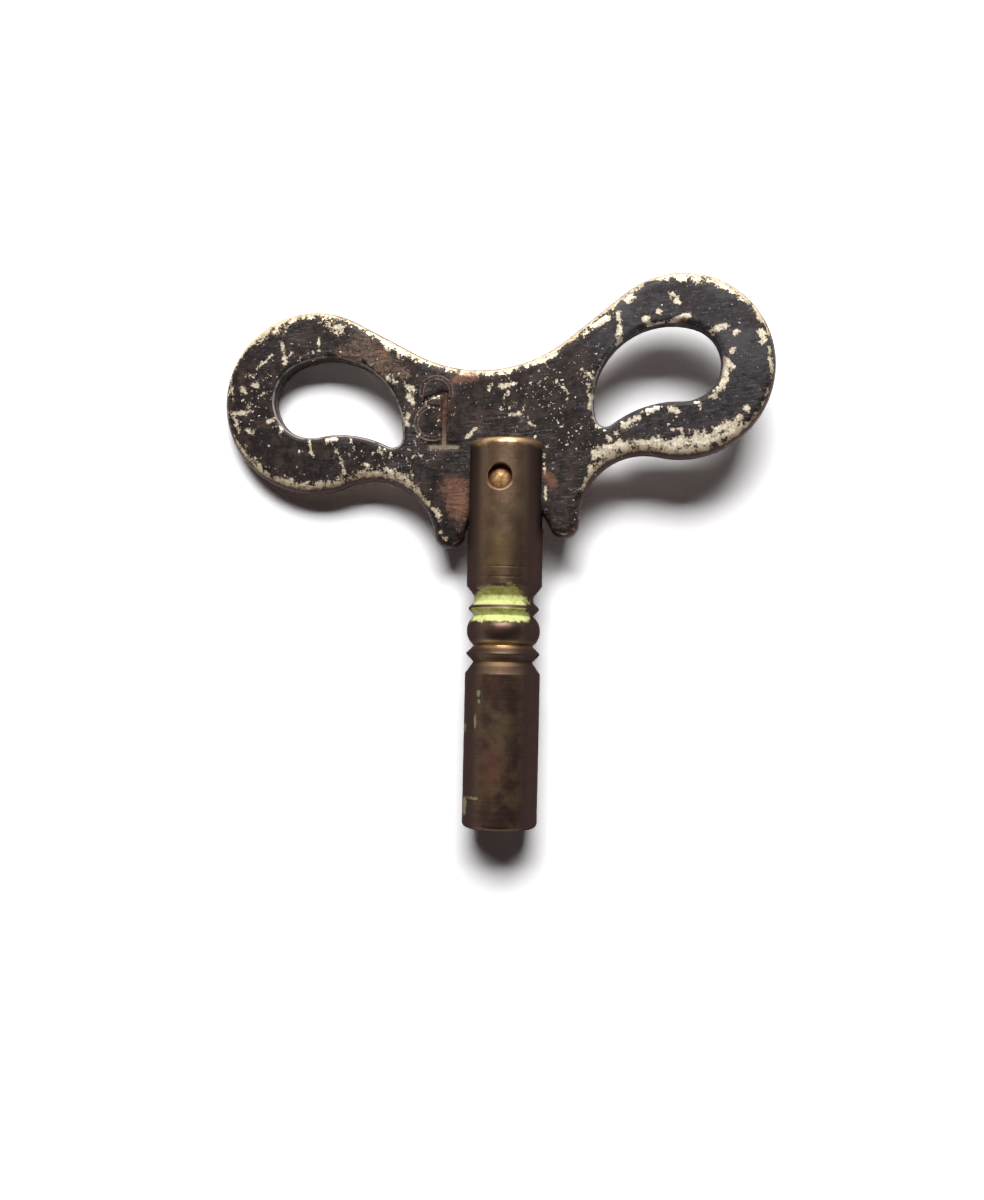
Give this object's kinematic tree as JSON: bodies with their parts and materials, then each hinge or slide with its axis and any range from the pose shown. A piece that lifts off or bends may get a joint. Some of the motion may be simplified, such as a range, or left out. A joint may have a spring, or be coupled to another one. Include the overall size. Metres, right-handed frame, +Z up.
{
  "type": "clock key",
  "caption": "Two-winged clock winding key: a looped plate bow pinned in the slotted end of a turned barrel with a square winding socket.",
  "frame": {"origin": "centre of the square socket's mouth, on the barrel's axis", "axes": "+Y along the barrel from the socket's mouth to the bow, +Z up from the surface the key lies on, which is at z = -3.25 mm, and +X across the wings towards the raised right wing"},
  "size_m": [0.0475, 0.0478, 0.0064],
  "materials": {
    "painted_plate": "black paint worn through to pale metal along the rims and in flecks",
    "aged_brass": "dark brown patina, semi-gloss, bright in the groove bottoms, green deposit at the neck",
    "pin_brass": "satin, darkened round its edge"
  },
  "bodies": {
    "root": {"bow": "painted_plate", "barrel": "aged_brass", "cross_pin": "pin_brass"}
  },
  "joints": []
}
